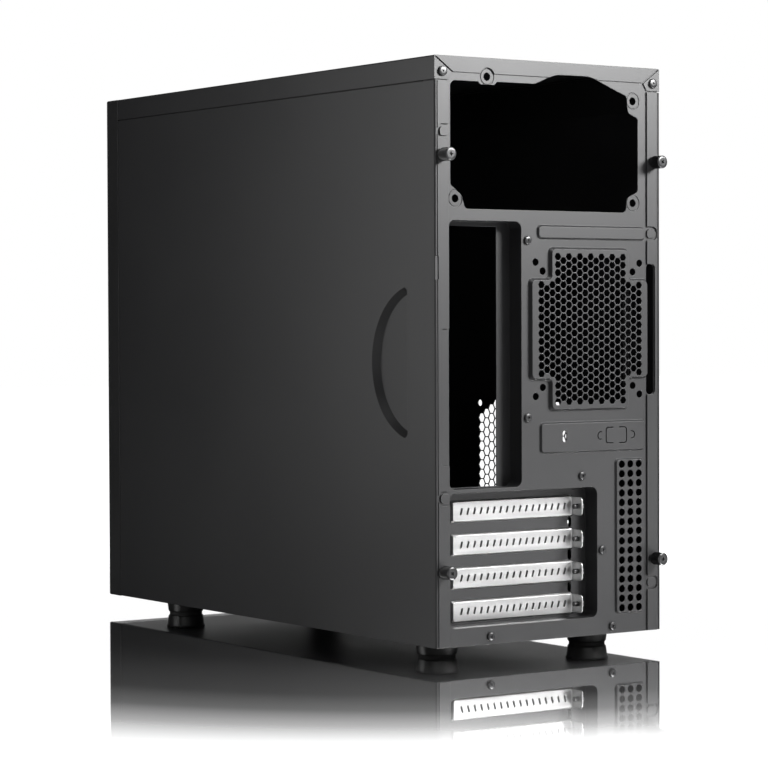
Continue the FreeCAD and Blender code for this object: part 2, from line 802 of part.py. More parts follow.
def thumbscrew(side, h):
    """Knurled thumbscrew; its shank passes the panel flange into the rear sheet's thread."""
    x = side * across(thumb_across)
    seat = flange_y + sheet + 0.1
    collar = along_y(thumb_collar_r, x, up(h), seat, seat + thumb_collar)
    head = along_y(thumb_head_r, x, up(h), seat + thumb_collar - 0.1, rear_y + rear_reach)
    grooves = []
    count = 24
    for i in range(count):
        turn = 2 * math.pi * i / count
        grooves.append(along_y(0.28, x + thumb_head_r * math.cos(turn), up(h) + thumb_head_r * math.sin(turn),
                               seat + thumb_collar + 1.4, rear_y + rear_reach - 1.2))
    shank = along_y(screw_shank_r, x, up(h), seat - thumb_shank, seat)
    body = fuse([collar, head, shank])
    return cut(body, [*grooves, cross_recess(x, rear_y + rear_reach, up(h), "y")])


# Inside

def top_rails():
    web = block(frame_half - sheet, frame_half, front_y + front_return + 1, back(sheet + return_depth + 1),
                top - rail_height, top - sheet)
    lip = block(frame_half - rail_lip, frame_half, front_y + front_return + 1, back(sheet + return_depth + 1),
                top - 2 * sheet, top - sheet)
    return Part.makeCompound(both_sides(fuse([web, lip])))


def motherboard_tray():
    x0, x1 = across(tray_across), across(tray_across - sheet)
    body = block(x0, x1, front_y + sheet, back(tray_stop), base + sheet, top - 2 * sheet)
    ear = block(x0, x1, back(tray_stop + 1), back(sheet), up(tray_ear[0]), up(tray_ear[1]))
    foot = block(x0 - return_depth, x1, front_y + front_return + 4, back(return_depth + 4), base + sheet, base + 2 * sheet)
    body = fuse([body, ear, foot])

    def place(d, h):
        return Vector(x0 - 1, back(d), up(h))

    holes = [slab(rounded(rectangle(*tray_window, tray_window_corner), place), [], Vector(sheet + 2, 0, 0))]
    for h in tray_slot_ups:
        wide, tall = tray_slot_size
        outline = rounded(centred(tray_slot_back, h, wide, tall, 4.0), place)
        holes.append(slab(outline, [], Vector(sheet + 2, 0, 0)))
    for d in board_columns:
        for h in board_rows:
            holes.append(cylinder(standoff_stud_r + screw_clearance, (x0 - 1, back(d), up(h)), (1, 0, 0), sheet + 2))
    return cut(body, holes)


def standoffs():
    x0 = across(tray_across)
    made = []
    for d in board_columns:
        for h in board_rows:
            wire = hexagon(d, h, standoff_flats, lambda u, v: Vector(x0 - standoff_height, back(u), up(v)))
            prism = Part.Face(wire).extrude(Vector(standoff_height, 0, 0))
            stud = cylinder(standoff_stud_r, (x0, back(d), up(h)), (1, 0, 0), sheet)
            bore = cylinder(standoff_bore_r, (x0 - standoff_height - 1, back(d), up(h)), (1, 0, 0), standoff_height)
            made.append(prism.fuse(stud).removeSplitter().cut(bore))
    return Part.makeCompound(made)


def psu_shelf():
    z = up(psu_up - psu_edge)
    lip = block(across(case_width - 14), across(tray_across + 2), back(psu_lip), back(sheet), z - sheet, z)
    hang = block(across(case_width - 14), across(tray_across + 2), back(2 * sheet), back(sheet), z - 5, z)
    return fuse([lip, hang])


def psu_rail():
    z = up(psu_up - psu_edge)
    x = across(tray_across)
    shelf = block(x - psu_rail_width, x, back(psu_depth), back(psu_lip + 2), z - sheet, z)
    web = block(x - sheet, x, back(psu_depth), back(psu_lip + 2), z - return_depth, z)
    return fuse([shelf, web])


def optical_bay_cage():
    y0, y1 = front_y + sheet, front_y + sheet + bay_cage_depth
    low, high = up(bay_low) - sheet, up(bay_high)
    wall = block(bay_half, bay_half + sheet, y0, y1, low, high)
    floor = block(-bay_half, bay_half, y0, y1, low, low + sheet)
    lip = block(bay_half, bay_half + sheet * 4, y0, y0 + sheet, low, high)
    body = fuse([floor, *both_sides(wall), *both_sides(lip)])
    holes = []
    for i in range(bay_count):
        for d in (40.0, 90.0, 120.0):
            z = up(bay_low + i * bay_pitch + 10.0)
            tall, long = bay_screw_slot
            holes.append(block(-bay_half - 2, bay_half + 2, y0 + d, y0 + d + long, z, z + tall))
    for d in (30.0, 85.0):
        holes.append(block(-50, 50, y0 + d, y0 + d + 40, low - 1, low + sheet + 1))
    return cut(body, holes)


def drive_cage():
    inner = drive_width / 2 + drive_side_gap
    y0 = front_y + sheet + front_fan_thick + 8
    y1 = y0 + drive_cage_depth
    z0 = base + 2 * sheet
    z1 = z0 + drive_bays * drive_pitch + 2 * sheet
    wall = block(inner, inner + sheet, y0, y1, z0, z1)
    foot = block(inner, inner + cage_lip, y0, y1, z0 - sheet, z0)
    roof = block(-inner, inner, y0, y1, z1 - sheet, z1)
    floor = block(-inner, inner, y0, y1, z0 - sheet, z0)
    ledges = []
    for i in range(1, drive_bays):
        z = z0 + i * drive_pitch
        ledges += both_sides(block(inner - 6, inner, y0 + 6, y1 - 6, z, z + sheet))
    body = fuse([floor, roof, *both_sides(wall), *both_sides(foot), *ledges])
    holes = [block(-30, 30, y0 + 20, y1 - 20, z1 - 2, z1 + 1)]
    for i in range(drive_bays):
        for d in (28.0, 70.0):
            z = z0 + i * drive_pitch + 6
            holes.append(block(-inner - 2, inner + 2, y0 + d, y0 + d + 16, z + 4, z + 8))
    return cut(body, holes)


# Front frame and fan

def front_frame():
    edge = frame_half
    holes = [rounded(rectangle(-bay_half, bay_half, bay_low, bay_high, 0), front_place(front_y)),
             circle(0, front_fan_up, front_fan_bore, front_place(front_y)),
             rounded(centred(0, panel_up, *cable_hole, 3.0), front_place(front_y))]
    for u in (-front_fan_pattern / 2, front_fan_pattern / 2):
        for v in (-front_fan_pattern / 2, front_fan_pattern / 2):
            holes.append(circle(u, front_fan_up + v, pan_shank_r + screw_clearance, front_place(front_y)))
    for x in clip_xs():
        for h in clip_ups:
            wide, tall = clip_size
            holes.append(rounded(centred(x, h, wide + 2 * clip_clearance, tall + 2 * clip_clearance), front_place(front_y)))
    plate = front_slab(rectangle(-edge, edge, 0, body_height - sheet, 0), front_y, front_y + sheet, holes)
    side = block(edge - sheet, edge, front_y, front_y + front_return, base + sheet, top - sheet)
    lip = block(-edge, edge, front_y, front_y + return_depth, top - 2 * sheet, top - sheet)
    body = fuse([plate, *both_sides(side), lip])
    slots = []
    y = front_y + hook_from_front
    for h in hook_ups:
        slots += both_sides(block(edge - 2, edge + 1, y - 0.5, y + hook_length + slide_travel + 1.0, up(h) - 0.6, up(h) + sheet + 0.6))
    return cut(body, slots)


def clip_xs():
    return (-(half - clip_inset), half - clip_inset)


def fan_frame():
    y0, y1 = front_y + sheet, front_y + sheet + front_fan_thick
    size = front_fan_size
    z = up(front_fan_up)
    body = front_slab(centred(0, front_fan_up, size, size, 6.0), y0, y1,
                      [circle(0, front_fan_up, front_fan_bore, front_place(y0))])
    waist = front_fan_thick / 2 - 4
    cheeks = []
    for turn in range(4):
        cheek = block(-front_fan_size / 2 + 16, front_fan_size / 2 - 16, -waist, waist, size / 2 - 0.9, size / 2 + 1)
        cheek.rotate(Vector(0, 0, 0), Vector(0, 1, 0), 90 * turn)
        cheek.translate(Vector(0, (y0 + y1) / 2, z))
        cheeks.append(cheek)
    adds = [along_y(fan_hub_r - 1, 0, z, y1 - fan_strut, y1)]
    for turn in (45, 135, 225, 315):
        strut = block(fan_hub_r - 4, front_fan_bore + 2, y1 - fan_strut, y1 - 0.5, -2, 2)
        strut.rotate(Vector(0, 0, 0), Vector(0, 1, 0), turn)
        strut.translate(Vector(0, 0, z))
        adds.append(strut)
    body = fuse([body, *adds])
    holes = [along_y(fan_shaft_r + fan_shaft_clearance, 0, z, y1 - fan_strut - 1, y1 - 0.8)]
    for u in (-front_fan_pattern / 2, front_fan_pattern / 2):
        for v in (-front_fan_pattern / 2, front_fan_pattern / 2):
            holes.append(along_y(pan_shank_r + screw_clearance, u, z + v, y0 - 1, y1 + 1))
    return cut(body, [*cheeks, *holes])


def fan_rotor():
    y0, y1 = front_y + sheet + 2.0, front_y + sheet + front_fan_thick - fan_strut - 0.6
    z = up(front_fan_up)
    hub = along_y(fan_hub_r, 0, z, y0, y1)
    front_edge = [e for e in hub.Edges if abs(e.CenterOfMass.y - y0) < 1e-4 and len(e.Vertexes) == 1 and e.Length > 20]
    hub = hub.makeFillet(2.0, front_edge)
    shaft = along_y(fan_shaft_r, 0, z, y1, front_y + sheet + front_fan_thick - 1.2)
    reach = front_fan_bore - fan_blade_clearance
    blades = []
    for i in range(fan_blades):
        blade = block(fan_hub_r - 1.0, reach + 2, -0.8, 0.8, -12.5, 12.5)
        blade.rotate(Vector(0, 0, 0), Vector(1, 0, 0), fan_blade_tilt)
        blade.translate(Vector(0, (y0 + y1) / 2, 0))
        blade.rotate(Vector(0, 0, 0), Vector(0, 1, 0), 360.0 / fan_blades * i)
        blade.translate(Vector(0, 0, z))
        blades.append(blade.common(along_y(reach, 0, z, y0 + 0.3, y1 - 0.3)))
    return fuse([hub, shaft, *blades])


def fan_screws():
    made = []
    for u in (-front_fan_pattern / 2, front_fan_pattern / 2):
        for v in (-front_fan_pattern / 2, front_fan_pattern / 2):
            screw = pan_screw(u, up(front_fan_up + v), 0.0)
            screw.rotate(Vector(u, 0, up(front_fan_up + v)), Vector(0, 0, 1), 180)
            made.append(screw.translated(Vector(0, front_y, 0)))
    return Part.makeCompound(made)


# Bezel

def bezel_body(grow):
    """The bezel's outer form, or with a negative grow the space inside its wall."""
    shape = block(-half - grow, half + grow, bezel_y - grow, bezel_back + (1 if grow < 0 else 0), base - grow, top + grow)
    rim = [e for e in shape.Edges if abs(e.CenterOfMass.y - bezel_y + grow) < 1e-4]
    return shape.makeFillet(bezel_round + grow, rim)


def front_bezel():
    body = cut(bezel_body(0.0), [bezel_body(-bezel_wall)])
    depth = bezel_y + bezel_wall
    for x in clip_xs():
        for h in clip_ups:
            wide, tall = clip_size
            clip = block(x - wide / 2, x + wide / 2, bezel_y + 1, bezel_back + clip_length, up(h) - tall / 2, up(h) + tall / 2)
            body = body.fuse(clip)
    boss_x = (io_board_size[0] - io_boss[0]) / 2
    boss = front_slab(centred(boss_x, panel_up, *io_boss), bezel_y + 1, bezel_y + io_board_depth)
    body = fuse([body, *both_sides(boss)])
    holes = [front_slab(rectangle(-mesh_half_width, mesh_half_width, mesh_low, mesh_high, mesh_corner), bezel_y - 1, depth + 1)]
    for i in range(bay_count):
        low = bay_low + i * bay_pitch
        holes.append(front_slab(rectangle(-bay_half - 0.4, bay_half + 0.4, low, low + bay_pitch - 1.0, 1.0), bezel_y - 1, depth + 1))
    z = up(panel_up)
    for x, r in ((power_x, power_r + button_gap), (reset_x, reset_r + button_gap),
                 *((x, led_r + led_gap) for x in led_xs), *((x, audio_body_r + led_gap) for x in audio_xs)):
        holes.append(along_y(r, x, z, bezel_y - 1, depth + 1))
    for x in usb_xs:
        wide, tall = usb_size
        holes.append(front_slab(centred(x, panel_up, wide + 0.2, tall + 0.2), bezel_y - 1, depth + 1))
    return cut(body, holes)


def front_mesh():
    y0 = bezel_y + bezel_wall
    wide, low, high = mesh_half_width + mesh_lap, mesh_low - mesh_lap, mesh_high + mesh_lap
    middle = (low + high) / 2
    tall = (mesh_high - mesh_low) / 2
    margin = mesh_hole / 2 + 0.8

    def inside(u, v):
        return abs(u) < mesh_half_width - margin and abs(v) < tall - margin

    wires = [hexagon(u, middle + v, mesh_hole, front_place(y0)) for u, v in honeycomb(mesh_pitch, mesh_half_width, tall, inside)]
    return front_slab(rectangle(-wide, wide, low, high, 3.0), y0, y0 + mesh_sheet, wires)


def dust_filter():
    y0 = bezel_y + bezel_wall + mesh_sheet
    wide = mesh_half_width + mesh_lap
    return front_slab(rectangle(-wide, wide, mesh_low - mesh_lap, mesh_high + mesh_lap, 3.0), y0, y0 + filter_thick)


def bay_cover(i):
    low = bay_low + i * bay_pitch
    gap = bay_cover_gap
    wide = bay_half + 0.4 - gap
    face = front_slab(rectangle(-wide, wide, low + gap, low + bay_pitch - 1.0 - gap, 0.8), bezel_y + 0.4, bezel_y + bezel_wall)
    middle = low + bay_pitch / 2 - 0.5
    finger = block(wide - 1.6, wide, bezel_y + 1, bezel_y + bay_cover_finger, up(middle) - 9, up(middle) + 9)
    return fuse([face, *both_sides(finger)])


def button(x, radius):
    z = up(panel_up)
    y0 = bezel_y + 0.2
    cap = along_y(radius, x, z, y0, y0 + button_length)
    rim = [e for e in cap.Edges if abs(e.CenterOfMass.y - y0) < 1e-4 and len(e.Vertexes) == 1 and e.Length > radius * 6]
    cap = cap.makeFillet(0.6, rim)
    start = bezel_y + bezel_wall + 0.1
    stop = along_y(radius + button_flange, x, z, start, start + button_flange_thick)
    return fuse([cap, stop])


def led_lens(x):
    return along_y(led_r, x, up(panel_up), bezel_y + 0.1, bezel_y + io_board_depth)


def usb_port(x):
    wide, tall = usb_size
    y0, y1 = bezel_y + 0.6, bezel_y + 0.6 + usb_length
    outer = front_slab(centred(x, panel_up, wide, tall, 0.6), y0, y1)
    inner = front_slab(centred(x, panel_up, wide - 2 * usb_wall, tall - 2 * usb_wall, 0.3), y0 - 1, y1 - 1.0)
    return outer.cut(inner)


def usb_tongues():
    wide, tall = usb_tongue
    made = []
    for x in usb_xs:
        inner_tall = usb_size[1] - 2 * usb_wall
        z = up(panel_up) + inner_tall / 2 - tall - 0.35
        made.append(block(x - wide / 2, x + wide / 2, bezel_y + 2, bezel_y + 0.6 + usb_length - 1.0, z, z + tall))
    return Part.makeCompound(made)


def audio_jacks():
    made = []
    for x in audio_xs:
        body = along_y(audio_body_r, x, up(panel_up), bezel_y + 0.1, bezel_y + io_board_depth)
        made.append(body.cut(along_y(audio_r, x, up(panel_up), bezel_y, bezel_y + io_board_depth - 1.0)))
    return Part.makeCompound(made)


def front_io_board():
    y0 = bezel_y + io_board_depth
    body = front_slab(centred(0, panel_up, *io_board_size), y0, y0 + board_thickness)
    slots = [front_slab(centred(x, panel_up, usb_size[0] + 0.2, usb_size[1] + 0.2), y0 - 1, y0 + 3) for x in usb_xs]
    return cut(body, slots)


# Feet

def foot_places():
    x = across(foot_across)
    return [(side * x, y) for y in (back(foot_back), front_y + foot_from_seam) for side in (1, -1)]


def foot(x, y):
    body = Part.makeCone(foot_low_r, foot_r, base - pad_drop, Vector(x, y, pad_drop))
    rim = [e for e in body.Edges if near(e.CenterOfMass.z, pad_drop) and len(e.Vertexes) == 1 and e.Length > foot_low_r * 6]
    body = body.makeFillet(foot_round, rim)
    pad_space = cylinder(pad_r, (x, y, 0), (0, 0, 1), pad_drop + pad_sink)
    head_space = cylinder(foot_screw_head_r + 0.3, (x, y, 0), (0, 0, 1), pad_drop + pad_sink + foot_screw_head)
    shank_space = cylinder(foot_screw_r + screw_clearance, (x, y, 0), (0, 0, 1), base + 1)
    return cut(body, [pad_space, head_space, shank_space])


def foot_pads():
    return Part.makeCompound([cylinder(pad_r, (x, y, 0), (0, 0, 1), pad_drop + pad_sink) for x, y in foot_places()])


def foot_screws():
    made = []
    for x, y in foot_places():
        z = pad_drop + pad_sink + 0.1
        head = cylinder(foot_screw_head_r, (x, y, z), (0, 0, 1), foot_screw_head - 0.1)
        shank = cylinder(foot_screw_r, (x, y, z), (0, 0, 1), base + sheet + 2.0 - z)
        made.append(head.fuse(shank).removeSplitter())
    return Part.makeCompound(made)


def all_parts():
    yield "rear_panel", rear_panel()
    yield "bottom_panel", bottom_panel()
    yield "front_frame", front_frame()
    yield "top_cover", top_cover()
    yield "right_side_panel", side_panel(False)
    yield "left_side_panel", left_side_panel()
    yield "top_rails", top_rails()
    yield "motherboard_tray", motherboard_tray()
    yield "standoffs", standoffs()
    yield "psu_shelf", psu_shelf()
    yield "psu_rail", psu_rail()
    yield "optical_bay_cage", optical_bay_cage()
    yield "drive_cage", drive_cage()
    for i, h in enumerate(slot_ups):
        yield f"slot_cover_{i + 1}", slot_cover(h)
    yield "slot_screws", slot_screws()
    yield "rear_screws", rear_screws()
    yield "cover_screws", cover_screws()
    for name, side in (("right", 1), ("left", -1)):
        for level, h in zip(("lower", "upper"), thumb_ups):
            yield f"thumbscrew_{name}_{level}", thumbscrew(side, h)
    yield "fan_frame", fan_frame()
    yield "fan_rotor", fan_rotor()
    yield "fan_screws", fan_screws()
    yield "front_bezel", front_bezel()
    yield "front_mesh", front_mesh()
    yield "dust_filter", dust_filter()
    for i, level in enumerate(("lower", "upper")):
        yield f"bay_cover_{level}", bay_cover(i)
    yield "power_button", button(power_x, power_r)
    yield "reset_button", button(reset_x, reset_r)
    for name, x in zip(("power_led", "drive_led"), led_xs):
        yield name, led_lens(x)
    for name, x in zip(("usb_port_right", "usb_port_left"), usb_xs):
        yield name, usb_port(x)
    yield "usb_tongues", usb_tongues()
    yield "audio_jacks", audio_jacks()
    yield "front_io_board", front_io_board()
    for name, (x, y) in zip(("rear_right", "rear_left", "front_right", "front_left"), foot_places()):
        yield f"foot_{name}", foot(x, y)
    yield "foot_pads", foot_pads()
    yield "foot_screws", foot_screws()


os.makedirs("parts", exist_ok=True)
for node, shape in all_parts():
    shape.exportStep(f"parts/{node}.step")
    print(node, shape.isValid(), len(shape.Solids), round(shape.Volume, 1))
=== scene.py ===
import json
import math

import bmesh
import bpy
from mathutils import Matrix, Vector


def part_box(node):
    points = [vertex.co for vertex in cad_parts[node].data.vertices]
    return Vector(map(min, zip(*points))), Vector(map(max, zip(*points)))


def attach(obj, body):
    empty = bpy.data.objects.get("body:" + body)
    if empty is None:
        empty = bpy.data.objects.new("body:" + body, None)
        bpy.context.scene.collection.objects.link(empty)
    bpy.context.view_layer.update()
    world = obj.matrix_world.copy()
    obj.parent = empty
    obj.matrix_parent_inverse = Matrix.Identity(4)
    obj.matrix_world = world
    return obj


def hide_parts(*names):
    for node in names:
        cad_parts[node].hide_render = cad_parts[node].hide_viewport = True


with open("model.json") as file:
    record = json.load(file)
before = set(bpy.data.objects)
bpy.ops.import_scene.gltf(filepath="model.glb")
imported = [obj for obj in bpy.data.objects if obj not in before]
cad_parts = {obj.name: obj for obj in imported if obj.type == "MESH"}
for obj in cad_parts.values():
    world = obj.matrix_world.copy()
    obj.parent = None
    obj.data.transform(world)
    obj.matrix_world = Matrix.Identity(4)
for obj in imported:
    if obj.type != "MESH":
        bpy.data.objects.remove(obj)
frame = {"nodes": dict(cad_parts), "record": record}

scene = bpy.context.scene
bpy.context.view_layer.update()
bodyOf = {node: body for body, nodes in frame["record"]["behaviour"]["bodies"].items() for node in nodes}
slotOf = {part["node"]: part["material_slot"] for part in frame["record"]["subparts"]}
print("frame loaded:", len(frame["nodes"]), "nodes")


# ---- materials

def newMaterial(name, look):
    material = bpy.data.materials.new(name)
    material.use_nodes = True
    shader = material.node_tree.nodes["Principled BSDF"]
    shader.inputs["Metallic"].default_value = look.get("metallic", 0.0)
    shader.inputs["Roughness"].default_value = look["roughness"]
    shader.inputs["Specular IOR Level"].default_value = look.get("specular", 0.5)
    shader.inputs["Coat Weight"].default_value = look.get("coat", 0.0)
    shader.inputs["Coat Roughness"].default_value = look.get("coatRoughness", 0.2)
    return material, shader


def addNode(owner, kind, **values):
    # owner: the material or the world that the node goes in
    node = owner.node_tree.nodes.new(kind)
    for key, value in values.items():
        if key in node.inputs:
            node.inputs[key].default_value = value
        else:
            setattr(node, key, value)
    return node


def join(owner, fromSocket, toSocket):
    owner.node_tree.links.new(fromSocket, toSocket)


def objectPoint(material, stretch=(1, 1, 1)):
    place = addNode(material, "ShaderNodeTexCoord")
    mapping = addNode(material, "ShaderNodeMapping", Scale=stretch)
    join(material, place.outputs["Object"], mapping.inputs["Vector"])
    return mapping.outputs["Vector"]


def colourDrift(material, shader, point, look):
    # slow change of tone over the surface
    drift = addNode(material, "ShaderNodeTexNoise", Scale=look["driftScale"], Detail=3.0, Roughness=0.6)
    join(material, point, drift.inputs["Vector"])
    ramp = addNode(material, "ShaderNodeValToRGB")
    dark, light = look["colours"]
    ramp.color_ramp.elements[0].position = 0.3
    ramp.color_ramp.elements[0].color = (*dark, 1)
    ramp.color_ramp.elements[1].position = 0.7
    ramp.color_ramp.elements[1].color = (*light, 1)
    join(material, drift.outputs["Fac"], ramp.inputs["Fac"])
    join(material, ramp.outputs["Color"], shader.inputs["Base Color"])
    return drift


def grain(material, shader, point, look):
    # fine relief: two sizes of grain over each other
    coarse = addNode(material, "ShaderNodeTexNoise", Scale=look["grainScale"], Detail=4.0, Roughness=0.65)
    fine = addNode(material, "ShaderNodeTexVoronoi", Scale=look["grainScale"] * 1.7)
    join(material, point, coarse.inputs["Vector"])
    join(material, point, fine.inputs["Vector"])
    both = addNode(material, "ShaderNodeMath", operation="MULTIPLY_ADD")
    both.inputs[1].default_value = 0.5
    join(material, fine.outputs["Distance"], both.inputs[0])
    join(material, coarse.outputs["Fac"], both.inputs[2])
    bump = addNode(material, "ShaderNodeBump", Strength=look["grainStrength"], Distance=look["grainDepth"])
    join(material, both.outputs["Value"], bump.inputs["Height"])
    join(material, bump.outputs["Normal"], shader.inputs["Normal"])
    return coarse


def roughnessDrift(material, shader, source, low, high):
    spread = addNode(material, "ShaderNodeMapRange")
    spread.inputs["To Min"].default_value = low
    spread.inputs["To Max"].default_value = high
    join(material, source.outputs["Fac"], spread.inputs["Value"])
    join(material, spread.outputs["Result"], shader.inputs["Roughness"])


def powderCoat(name, look):
    material, shader = newMaterial(name, look)
    point = objectPoint(material)
    drift = colourDrift(material, shader, point, look)
    grain(material, shader, point, look)
    roughnessDrift(material, shader, drift, look["roughness"] - 0.05, look["roughness"] + 0.05)
    return material


def rolledSteel(name, look):
    material, shader = newMaterial(name, look)
    point = objectPoint(material, look["stretch"])
    streak = colourDrift(material, shader, point, look)
    roughnessDrift(material, shader, streak, look["roughness"] - 0.08, look["roughness"] + 0.08)
    bump = addNode(material, "ShaderNodeBump", Strength=look["grainStrength"], Distance=look["grainDepth"])
    join(material, streak.outputs["Fac"], bump.inputs["Height"])
    join(material, bump.outputs["Normal"], shader.inputs["Normal"])
    return material


coatLook = {"colours": ((0.0125, 0.0125, 0.0135), (0.0155, 0.0155, 0.0165)), "driftScale": 9.0,
            "roughness": 0.46, "specular": 0.5,
            "grainScale": 1500.0, "grainStrength": 0.35, "grainDepth": 0.00006}
# the inner steel is a darker, rougher copy of the outer coat: its darker colours are painted shade for the
# inside of the case
insideShadeLook = {**coatLook, "colours": ((0.006, 0.006, 0.0065), (0.008, 0.008, 0.0085)), "roughness": 0.55}
zincLook = {"colours": ((0.50, 0.50, 0.50), (0.60, 0.60, 0.60)), "driftScale": 260.0, "stretch": (0.08, 1, 1),
            "metallic": 1.0, "roughness": 0.38, "grainStrength": 0.15, "grainDepth": 0.00004}
steelLook = {"colours": ((0.62, 0.62, 0.61), (0.74, 0.74, 0.73)), "driftScale": 400.0, "stretch": (1, 1, 1),
             "metallic": 1.0, "roughness": 0.3, "grainStrength": 0.1, "grainDepth": 0.00003}
screwLook = {"colours": ((0.012, 0.012, 0.013), (0.02, 0.02, 0.021)), "driftScale": 60.0,
             "roughness": 0.3, "specular": 0.6,
             "grainScale": 900.0, "grainStrength": 0.08, "grainDepth": 0.00003}
brassLook = {"colours": ((0.60, 0.42, 0.16), (0.72, 0.53, 0.24)), "driftScale": 300.0, "stretch": (1, 1, 1),
             "metallic": 1.0, "roughness": 0.32, "grainStrength": 0.1, "grainDepth": 0.00003}
mouldedLook = {"colours": ((0.012, 0.012, 0.012), (0.016, 0.016, 0.016)), "driftScale": 20.0,
               "roughness": 0.5,
               "grainScale": 1100.0, "grainStrength": 0.2, "grainDepth": 0.00005}
bezelLook = {"colours": ((0.010, 0.010, 0.0105), (0.013, 0.013, 0.0135)), "driftScale": 12.0,
             "roughness": 0.36, "coat": 0.15, "coatRoughness": 0.25,
             "grainScale": 1300.0, "grainStrength": 0.12, "grainDepth": 0.00004}
meshLook = {"colours": ((0.012, 0.012, 0.012), (0.017, 0.017, 0.017)), "driftScale": 40.0, "roughness": 0.45,
            "grainScale": 1500.0, "grainStrength": 0.25, "grainDepth": 0.00005}
foamLook = {"colours": ((0.004, 0.004, 0.004), (0.02, 0.02, 0.02)), "driftScale": 700.0,
            "roughness": 0.9, "specular": 0.1,
            "grainScale": 600.0, "grainStrength": 1.0, "grainDepth": 0.0006}
glossLook = {"colours": ((0.012, 0.012, 0.013), (0.015, 0.015, 0.016)), "driftScale": 30.0,
             "roughness": 0.16, "coat": 0.6, "coatRoughness": 0.08,
             "grainScale": 700.0, "grainStrength": 0.03, "grainDepth": 0.00003}
lampLook = {"colours": ((0.55, 0.62, 0.68), (0.65, 0.72, 0.78)), "driftScale": 200.0,
            "roughness": 0.2, "coat": 0.3,
            "grainScale": 900.0, "grainStrength": 0.05, "grainDepth": 0.00003}
solderLook = {"colours": ((0.008, 0.05, 0.02), (0.012, 0.075, 0.03)), "driftScale": 150.0,
              "roughness": 0.35, "coat": 0.4,
              "grainScale": 500.0, "grainStrength": 0.1, "grainDepth": 0.00004}
footLook = {"colours": ((0.008, 0.008, 0.008), (0.012, 0.012, 0.012)), "driftScale": 40.0, "roughness": 0.42,
            "grainScale": 1000.0, "grainStrength": 0.15, "grainDepth": 0.00005}
padLook = {"colours": ((0.015, 0.015, 0.015), (0.025, 0.025, 0.025)), "driftScale": 90.0, "roughness": 0.8,
           "grainScale": 800.0, "grainStrength": 0.4, "grainDepth": 0.00008}

finishOf = {"steel_black": powderCoat("powderBlack", coatLook),
            # the inner steel takes the darker copy of the coat, which is painted shade
            "steel_inner": powderCoat("powderInsidePaintedShade", insideShadeLook),
            "cover_silver": rolledSteel("zincSilver", zincLook),
            "connector_metal": rolledSteel("brightSteel", steelLook),
            "screw_black": powderCoat("blackZinc", screwLook),
            "brass_standoff": rolledSteel("standoffBrass", brassLook),
            "plastic_black": powderCoat("mouldedBlack", mouldedLook),
            "bezel_plastic": powderCoat("bezelPlastic", bezelLook),
            "mesh_black": powderCoat("meshBlack", meshLook),
            "filter_foam": powderCoat("filterFoam", foamLook),
            "button_gloss": powderCoat("buttonGloss", glossLook),
            "led_lens": powderCoat("lampLens", lampLook),
            "board_green": powderCoat("solderMask", solderLook),
            "foot_plastic": powderCoat("footPlastic", footLook),
            "pad_rubber": powderCoat("padRubber", padLook)}
for node, obj in frame["nodes"].items():
    obj.data.materials.clear()
    obj.data.materials.append(finishOf[slotOf[node]])
print("materials:", len(finishOf))


# ---- sheet metal and plastic shells, with their edges broken

weld = 0.000002               # points closer than this are one point
smoothUpTo = math.radians(50)


def softenEdges(node, edge):
    bm = bmesh.new()
    bm.from_mesh(frame["nodes"][node].data)
    bmesh.ops.remove_doubles(bm, verts=bm.verts, dist=weld)
    bmesh.ops.dissolve_limit(bm, angle_limit=math.radians(0.6), verts=bm.verts, edges=bm.edges, delimit=set())
    sharpFrom = math.radians(edge["sharpFrom"])
    sharp = [e for e in bm.edges if len(e.link_faces) == 2 and e.calc_face_angle(0) > sharpFrom]
    bmesh.ops.bevel(bm, geom=sharp, offset=edge["width"], offset_type="OFFSET", segments=edge["segments"],
                    profile=0.5, affect="EDGES", clamp_overlap=False, material=-1)
    return bm


def finishPiece(name, bm, node):
    mesh = bpy.data.meshes.new(name)
    for face in bm.faces:
        face.smooth = True
    for e in bm.edges:
        e.smooth = len(e.link_faces) == 2 and e.calc_face_angle(0) < smoothUpTo
    bm.to_mesh(mesh)
    bm.free()
    mesh.materials.append(finishOf[slotOf[node]])
    obj = bpy.data.objects.new(name, mesh)
    scene.collection.objects.link(obj)
    level = obj.modifiers.new("evenNormals", "WEIGHTED_NORMAL")
    level.keep_sharp = True
    level.weight = 100
    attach(obj, bodyOf[node])
    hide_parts(node)
    return obj


brokenEdge = {"sharpFrom": 35, "width": 0.0002, "segments": 2}
sheetPieces = {"rear_panel": "rearSheet", "top_cover": "topCover", "right_side_panel": "traySidePanel",
               "left_side_panel": "ventSidePanel", "front_bezel": "bezelShell", "bottom_panel": "bottomSheet",
               "front_frame": "frontSheet", "optical_bay_cage": "opticalBayCage", "drive_cage": "driveCage",
               "psu_shelf": "supplyShelf", "psu_rail": "supplyRail", "top_rails": "topRails",
               "bay_cover_lower": "bayCoverLower", "bay_cover_upper": "bayCoverUpper",
               "fan_frame": "fanFrame"}
for node, name in sheetPieces.items():
    finishPiece(name, softenEdges(node, brokenEdge), node)
coverEdge = {**brokenEdge, "width": 0.00015}
for i in range(1, 5):
    finishPiece(f"slotCover{i}", softenEdges(f"slot_cover_{i}", coverEdge), f"slot_cover_{i}")
print("sheets softened")


# ---- turned and moulded pieces

def boxSpan(node):
    low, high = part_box(node)
    return low, high, (low + high) / 2


def spunSolid(profile, steps):
    # profile: (radius, height) pairs that start and end on the turning axis, which is Y
    bm = bmesh.new()
    corners = [bm.verts.new((radius, height, 0)) for radius, height in profile]
    for a, b in zip(corners, corners[1:]):
        bm.edges.new((a, b))
    bmesh.ops.spin(bm, geom=bm.verts[:] + bm.edges[:], cent=(0, 0, 0), axis=(0, 1, 0),
                   angle=math.tau, steps=steps, use_merge=True)
    bmesh.ops.remove_doubles(bm, verts=bm.verts, dist=weld)
    bmesh.ops.recalc_face_normals(bm, faces=bm.faces)
    return bm


